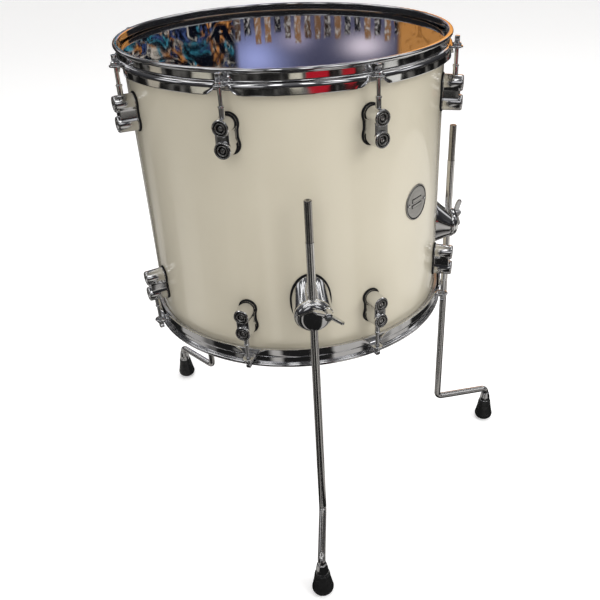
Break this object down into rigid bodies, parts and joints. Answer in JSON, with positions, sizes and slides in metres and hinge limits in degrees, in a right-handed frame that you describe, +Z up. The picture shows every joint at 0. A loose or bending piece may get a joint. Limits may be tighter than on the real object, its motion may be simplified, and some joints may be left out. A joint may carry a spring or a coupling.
{
  "type": "floor tom drum",
  "caption": "Two-headed cylindrical drum in a glossy ivory shell, with chrome hoops, turret lugs and tension rods, standing on clamped, height-adjustable legs with rubber feet.",
  "frame": {"origin": "on the floor, at the middle of the rectangle that holds the feet and the drum; the drum's own axis stands a little behind and to the left of it", "axes": "+Z up along the drum's axis, -Y to the front leg, +X to the right leg"},
  "size_m": [0.567, 0.5786, 0.6804],
  "materials": {
    "shell_wrap": "glossy pearl ivory wrap on a maple shell",
    "chrome": "polished chrome",
    "head_film": "clear glossy film",
    "flesh_hoop": "satin",
    "gasket": "matte",
    "foot_rubber": "soft gloss",
    "screw_steel": "zinc plated",
    "badge_metal": "brushed"
  },
  "bodies": {
    "drum": {"shell": "shell_wrap", "badge": "badge_metal", "badge_rivets": "chrome", "batter_hoop": "chrome", "resonant_hoop": "chrome", "batter_head": "head_film", "batter_flesh_hoop": "flesh_hoop", "resonant_head": "head_film", "resonant_flesh_hoop": "flesh_hoop", "upper_lugs": "chrome", "lower_lugs": "chrome", "upper_lug_gaskets": "gasket", "lower_lug_gaskets": "gasket", "upper_swivel_nuts": "chrome", "lower_swivel_nuts": "chrome", "lug_screws": "screw_steel", "upper_rod_washers": "chrome", "lower_rod_washers": "chrome", "front_leg_bracket": "chrome", "right_leg_bracket": "chrome", "rear_leg_bracket": "chrome", "leg_bracket_gaskets": "gasket", "leg_bracket_screws": "screw_steel", "clamp_jaws": "chrome", "clamp_bolts": "chrome"},
    "front_leg": {"front_leg_rod": "chrome", "front_leg_ferrule": "chrome", "front_foot": "foot_rubber"},
    "right_leg": {"right_leg_rod": "chrome", "right_leg_ferrule": "chrome", "right_foot": "foot_rubber"},
    "rear_leg": {"rear_leg_rod": "chrome", "rear_leg_ferrule": "chrome", "rear_foot": "foot_rubber"},
    "front_wing_nut": {"front_wing_nut": "chrome"},
    "right_wing_nut": {"right_wing_nut": "chrome"},
    "rear_wing_nut": {"rear_wing_nut": "chrome"},
    "upper_tension_rod_1": {"upper_tension_rod_1": "chrome"},
    "upper_tension_rod_2": {"upper_tension_rod_2": "chrome"},
    "upper_tension_rod_3": {"upper_tension_rod_3": "chrome"},
    "upper_tension_rod_4": {"upper_tension_rod_4": "chrome"},
    "upper_tension_rod_5": {"upper_tension_rod_5": "chrome"},
    "upper_tension_rod_6": {"upper_tension_rod_6": "chrome"},
    "upper_tension_rod_7": {"upper_tension_rod_7": "chrome"},
    "upper_tension_rod_8": {"upper_tension_rod_8": "chrome"},
    "lower_tension_rod_1": {"lower_tension_rod_1": "chrome"},
    "lower_tension_rod_2": {"lower_tension_rod_2": "chrome"},
    "lower_tension_rod_3": {"lower_tension_rod_3": "chrome"},
    "lower_tension_rod_4": {"lower_tension_rod_4": "chrome"},
    "lower_tension_rod_5": {"lower_tension_rod_5": "chrome"},
    "lower_tension_rod_6": {"lower_tension_rod_6": "chrome"},
    "lower_tension_rod_7": {"lower_tension_rod_7": "chrome"},
    "lower_tension_rod_8": {"lower_tension_rod_8": "chrome"}
  },
  "joints": [
    {"name": "front_leg_height", "type": "slide", "parent": "drum", "child": "front_leg", "axis": [0, 0, 1], "range_m": [-0.06, 0.25]},
    {"name": "right_leg_height", "type": "slide", "parent": "drum", "child": "right_leg", "axis": [0, 0, 1], "range_m": [-0.06, 0.25]},
    {"name": "rear_leg_height", "type": "slide", "parent": "drum", "child": "rear_leg", "axis": [0, 0, 1], "range_m": [-0.06, 0.25]},
    {"name": "front_wing_nut_turn", "type": "hinge", "parent": "drum", "child": "front_wing_nut", "pos_m": [-0.03317, -0.2009, 0.4005], "axis": [0, -1, 0], "continuous": true},
    {"name": "right_wing_nut_turn", "type": "hinge", "parent": "drum", "child": "right_wing_nut", "pos_m": [0.19453, 0.0598, 0.4005], "axis": [1, 0, 0], "continuous": true},
    {"name": "rear_wing_nut_turn", "type": "hinge", "parent": "drum", "child": "rear_wing_nut", "pos_m": [-0.23401, 0.20431, 0.4005], "axis": [-0.7071, 0.7071, 0], "continuous": true},
    {"name": "upper_tension_rod_1_turn", "type": "hinge", "parent": "drum", "child": "upper_tension_rod_1", "pos_m": [-0.13348, -0.15903, 0.6706], "axis": [0, 0, 1], "continuous": true},
    {"name": "upper_tension_rod_2_turn", "type": "hinge", "parent": "drum", "child": "upper_tension_rod_2", "pos_m": [0.03414, -0.15903, 0.6706], "axis": [0, 0, 1], "continuous": true},
    {"name": "upper_tension_rod_3_turn", "type": "hinge", "parent": "drum", "child": "upper_tension_rod_3", "pos_m": [0.15266, -0.04051, 0.6706], "axis": [0, 0, 1], "continuous": true},
    {"name": "upper_tension_rod_4_turn", "type": "hinge", "parent": "drum", "child": "upper_tension_rod_4", "pos_m": [0.15266, 0.12711, 0.6706], "axis": [0, 0, 1], "continuous": true},
    {"name": "upper_tension_rod_5_turn", "type": "hinge", "parent": "drum", "child": "upper_tension_rod_5", "pos_m": [0.03414, 0.24563, 0.6706], "axis": [0, 0, 1], "continuous": true},
    {"name": "upper_tension_rod_6_turn", "type": "hinge", "parent": "drum", "child": "upper_tension_rod_6", "pos_m": [-0.13348, 0.24563, 0.6706], "axis": [0, 0, 1], "continuous": true},
    {"name": "upper_tension_rod_7_turn", "type": "hinge", "parent": "drum", "child": "upper_tension_rod_7", "pos_m": [-0.252, 0.12711, 0.6706], "axis": [0, 0, 1], "continuous": true},
    {"name": "upper_tension_rod_8_turn", "type": "hinge", "parent": "drum", "child": "upper_tension_rod_8", "pos_m": [-0.252, -0.04051, 0.6706], "axis": [0, 0, 1], "continuous": true},
    {"name": "lower_tension_rod_1_turn", "type": "hinge", "parent": "drum", "child": "lower_tension_rod_1", "pos_m": [-0.13348, -0.15903, 0.315], "axis": [0, 0, -1], "continuous": true},
    {"name": "lower_tension_rod_2_turn", "type": "hinge", "parent": "drum", "child": "lower_tension_rod_2", "pos_m": [0.03414, -0.15903, 0.315], "axis": [0, 0, -1], "continuous": true},
    {"name": "lower_tension_rod_3_turn", "type": "hinge", "parent": "drum", "child": "lower_tension_rod_3", "pos_m": [0.15266, -0.04051, 0.315], "axis": [0, 0, -1], "continuous": true},
    {"name": "lower_tension_rod_4_turn", "type": "hinge", "parent": "drum", "child": "lower_tension_rod_4", "pos_m": [0.15266, 0.12711, 0.315], "axis": [0, 0, -1], "continuous": true},
    {"name": "lower_tension_rod_5_turn", "type": "hinge", "parent": "drum", "child": "lower_tension_rod_5", "pos_m": [0.03414, 0.24563, 0.315], "axis": [0, 0, -1], "continuous": true},
    {"name": "lower_tension_rod_6_turn", "type": "hinge", "parent": "drum", "child": "lower_tension_rod_6", "pos_m": [-0.13348, 0.24563, 0.315], "axis": [0, 0, -1], "continuous": true},
    {"name": "lower_tension_rod_7_turn", "type": "hinge", "parent": "drum", "child": "lower_tension_rod_7", "pos_m": [-0.252, 0.12711, 0.315], "axis": [0, 0, -1], "continuous": true},
    {"name": "lower_tension_rod_8_turn", "type": "hinge", "parent": "drum", "child": "lower_tension_rod_8", "pos_m": [-0.252, -0.04051, 0.315], "axis": [0, 0, -1], "continuous": true}
  ]
}
